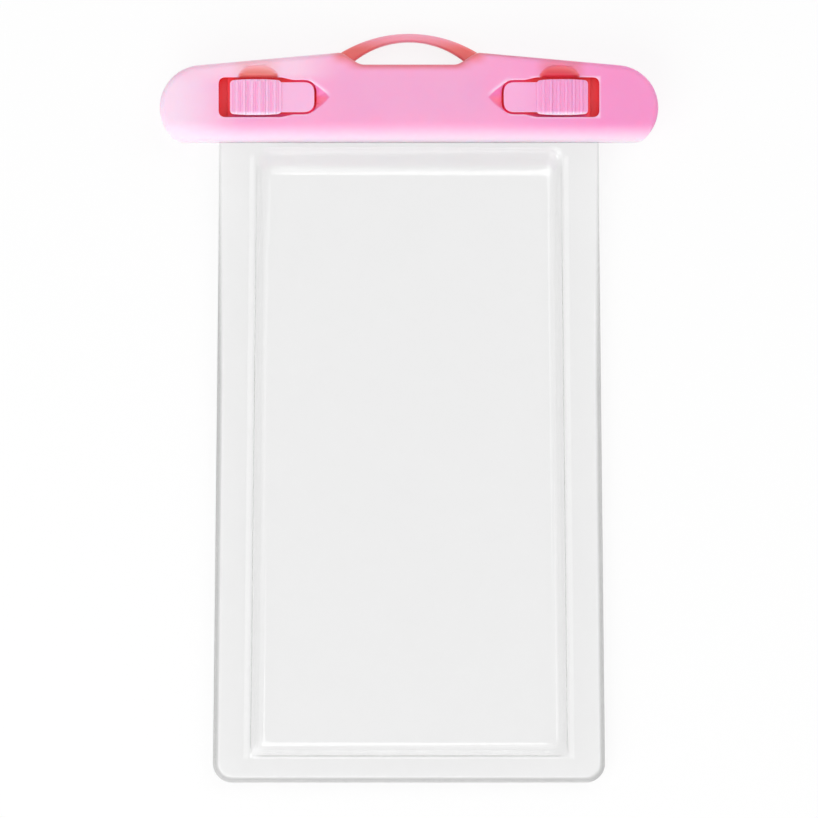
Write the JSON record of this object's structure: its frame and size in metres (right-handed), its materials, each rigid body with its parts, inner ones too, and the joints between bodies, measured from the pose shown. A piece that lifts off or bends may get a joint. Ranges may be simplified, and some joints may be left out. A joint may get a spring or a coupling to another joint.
{
  "type": "waterproof phone pouch",
  "caption": "Clear PVC pouch for a phone, closed by a moulded two-part clamp bar with sliding ribbed latches, a seal cord and an arched carrying loop.",
  "frame": {"origin": "on the surface that the pouch lies on, under the middle of its outline", "axes": "+X across the pouch to its right seen from the front, +Y up its length towards the clamp and the carrying loop, +Z from its back to its front"},
  "size_m": [0.1232, 0.1858, 0.0136],
  "materials": {
    "clamp_pink": "satin",
    "latch_pink": "satin",
    "seal_silicone": "matt",
    "clear_pvc": "clear gloss"
  },
  "bodies": {
    "rear_half": {"rear_bar": "clamp_pink", "seal_cord": "seal_silicone", "front_film": "clear_pvc", "back_film": "clear_pvc"},
    "front_half": {"front_bar": "clamp_pink", "left_latch_keeper": "clamp_pink", "right_latch_keeper": "clamp_pink"},
    "left_slider": {"left_latch": "latch_pink"},
    "right_slider": {"right_latch": "latch_pink"}
  },
  "joints": [
    {"name": "front_bar_lift", "type": "slide", "parent": "rear_half", "child": "front_half", "axis": [0, 0, 1], "range_m": [0, 0.012]},
    {"name": "left_latch_slide", "type": "slide", "parent": "front_half", "child": "left_slider", "axis": [-1, 0, 0], "range_m": [0, 0.0025]},
    {"name": "right_latch_slide", "type": "slide", "parent": "front_half", "child": "right_slider", "axis": [1, 0, 0], "range_m": [0, 0.0025]}
  ]
}
